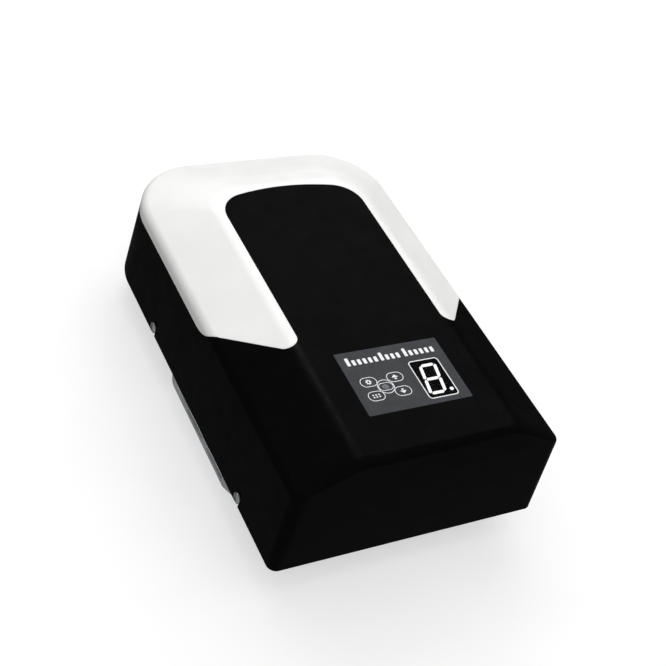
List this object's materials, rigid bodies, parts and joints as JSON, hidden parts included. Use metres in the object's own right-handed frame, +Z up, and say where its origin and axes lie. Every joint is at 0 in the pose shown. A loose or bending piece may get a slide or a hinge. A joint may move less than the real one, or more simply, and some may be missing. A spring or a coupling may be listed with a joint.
{
  "type": "garage door opener head",
  "caption": "Ceiling-hung garage door opener head: black hood with a wrap-round opal lamp lens, key panel with digit display, worm-geared motor and chain sprocket below.",
  "frame": {"origin": "bottom centre of the box: the plane of the hanging brackets' lower edges, under the middle of the hood", "axes": "+Z up as it stands on its brackets with the hood uppermost (towards the floor once hung), +Y along the hood from the control panel to the lamp end, +X to the right seen from the control-panel end"},
  "size_m": [0.2554, 0.394, 0.1481],
  "materials": {
    "hood_black": "satin black moulded ABS",
    "opal_lens": "opal diffusing polycarbonate, satin",
    "galvanised_steel": "zinc-plated sheet steel",
    "zinc_screws": "zinc-plated fasteners",
    "label_grey": "dark grey printed film with white line art",
    "smoked_window": "smoked display window",
    "display_black": "black display body",
    "segment_white": "diffusing display bars",
    "circuit_green": "green solder resist",
    "black_plastic": "black moulded plastic",
    "clear_pipe": "clear acrylic",
    "brass_post": "brass",
    "relay_blue": "blue relay case",
    "capacitor_sleeve": "dark blue sleeve",
    "terminal_green": "green terminal housing",
    "fuse_glass": "glass fuse and plated clips",
    "ribbon_grey": "grey ribbon cable",
    "lamination_steel": "stacked electrical steel",
    "copper_winding": "enamelled copper wire",
    "motor_steel": "drawn steel tube",
    "ferrite": "sintered ferrite",
    "carbon": "carbon brush",
    "copper_bars": "copper bars",
    "ground_steel": "ground steel",
    "die_cast": "die-cast zinc alloy",
    "wheel_nylon": "cast nylon gear",
    "bearing_steel": "bearing steel",
    "sprocket_steel": "hardened steel",
    "lamp_board_white": "white-faced aluminium board",
    "led_yellow": "phosphor-coated lamp chips",
    "wire_red": "red insulated wire"
  },
  "bodies": {
    "head": {"top_cover": "hood_black", "lamp_lens": "opal_lens", "base_plate": "galvanised_steel", "hanging_bracket_left": "galvanised_steel", "hanging_bracket_right": "galvanised_steel", "bracket_bolts": "zinc_screws", "cover_screws": "zinc_screws", "rail_clamp_front": "galvanised_steel", "rail_clamp_rear": "galvanised_steel", "rail_clamp_bolts": "zinc_screws", "control_label": "label_grey", "display_window": "smoked_window", "display_module": "display_black", "display_segments": "segment_white", "keypad_board": "circuit_green", "keypad_screws": "zinc_screws", "tact_switches": "black_plastic", "light_pipe": "clear_pipe", "main_board": "circuit_green", "board_standoffs": "brass_post", "board_screws": "zinc_screws", "relays": "relay_blue", "smoothing_capacitor": "capacitor_sleeve", "terminal_block": "terminal_green", "fuse_holder": "fuse_glass", "radio_module": "circuit_green", "logic_chips": "black_plastic", "ribbon_cable": "ribbon_grey", "transformer_core": "lamination_steel", "transformer_windings": "copper_winding", "transformer_frame": "galvanised_steel", "transformer_screws": "zinc_screws", "motor_can": "motor_steel", "motor_magnets": "ferrite", "motor_end_cap": "black_plastic", "motor_brushes": "carbon", "hall_sensor_board": "circuit_green", "gearbox_housing": "die_cast", "gearbox_cover": "die_cast", "gearbox_screws": "zinc_screws", "shaft_bearings": "bearing_steel", "worm_bearings": "bearing_steel", "mains_inlet": "black_plastic", "lamp_bracket_left": "galvanised_steel", "lamp_bracket_right": "galvanised_steel", "lamp_boards": "lamp_board_white", "lamp_leds": "led_yellow", "motor_leads": "wire_red"},
    "output_drive": {"worm_wheel": "wheel_nylon", "output_shaft": "ground_steel", "drive_sprocket": "sprocket_steel", "sprocket_circlip": "sprocket_steel"},
    "motor_rotor": {"motor_armature": "copper_winding", "commutator": "copper_bars", "worm_shaft": "ground_steel", "encoder_magnet": "ferrite"},
    "set_key": {"key_set": "label_grey"},
    "up_key": {"key_up": "label_grey"},
    "code_key": {"key_code": "label_grey"},
    "down_key": {"key_down": "label_grey"}
  },
  "joints": [
    {"name": "rotor_spin", "type": "hinge", "parent": "head", "child": "motor_rotor", "pos_m": [-0.048, 0, 0.07], "axis": [0, 1, 0], "continuous": true},
    {"name": "output_spin", "type": "hinge", "parent": "head", "child": "output_drive", "pos_m": [0, 0.06, 0.07], "axis": [0, 0, 1], "continuous": true},
    {"name": "set_press", "type": "slide", "parent": "head", "child": "set_key", "axis": [0, 0, -1], "range_m": [0, 0.0005], "stiffness_N_per_m": 3000},
    {"name": "up_press", "type": "slide", "parent": "head", "child": "up_key", "axis": [0, 0, -1], "range_m": [0, 0.0005], "stiffness_N_per_m": 3000},
    {"name": "code_press", "type": "slide", "parent": "head", "child": "code_key", "axis": [0, 0, -1], "range_m": [0, 0.0005], "stiffness_N_per_m": 3000},
    {"name": "down_press", "type": "slide", "parent": "head", "child": "down_key", "axis": [0, 0, -1], "range_m": [0, 0.0005], "stiffness_N_per_m": 3000}
  ],
  "couplings": [
    {"joint": "output_spin", "follows": "rotor_spin", "ratio": 0.025}
  ]
}
